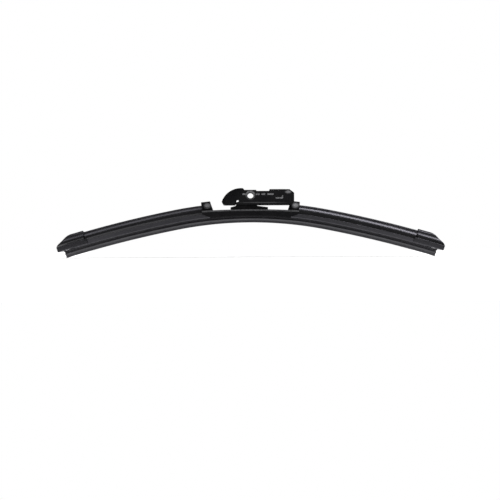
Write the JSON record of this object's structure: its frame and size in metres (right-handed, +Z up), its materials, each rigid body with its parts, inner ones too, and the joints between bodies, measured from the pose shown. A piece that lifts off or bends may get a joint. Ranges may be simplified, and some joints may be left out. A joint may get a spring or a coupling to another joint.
{
  "type": "wiper blade",
  "caption": "Flat beam windscreen wiper blade with a bowed wiping rubber, twin spring rails, a full spoiler, moulded end caps, a centre cover and a rocking arm adaptor.",
  "frame": {"origin": "centre of the arm pin bore through the adaptor's two side walls", "axes": "+X along the blade from the adaptor's nose to its tail, +Y across the blade along the arm pin bore, +Z up away from the glass"},
  "size_m": [0.3926, 0.0172, 0.0697],
  "materials": {
    "wiping_rubber": "matt black natural rubber",
    "spring_steel": "bare spring steel strip",
    "spoiler": "satin black soft moulding",
    "clamp_steel": "pressed sheet",
    "cap_plastic": "satin black moulding",
    "cover_plastic": "satin black moulding",
    "bracket_steel": "black coated pressing",
    "base_plastic": "black moulding",
    "pin_steel": "plain steel pin",
    "bush_plastic": "natural bearing plastic",
    "adaptor_plastic": "satin dark moulding"
  },
  "bodies": {
    "adaptor": {"arm_adaptor": "adaptor_plastic"},
    "blade": {"wiping_rubber": "wiping_rubber", "spring_rail_front": "spring_steel", "spring_rail_rear": "spring_steel", "spoiler_left": "spoiler", "spoiler_right": "spoiler", "end_clamp_left": "clamp_steel", "end_clamp_right": "clamp_steel", "end_cap_left": "cap_plastic", "end_cap_right": "cap_plastic", "centre_cover": "cover_plastic", "base_bracket": "bracket_steel", "pivot_base": "base_plastic", "pivot_pin": "pin_steel", "pivot_bush": "bush_plastic"}
  },
  "joints": [
    {"name": "blade_pivot", "type": "hinge", "parent": "adaptor", "child": "blade", "pos_m": [0, 0, -0.0067], "axis": [0, 1, 0], "range_deg": [-6, 8]}
  ]
}
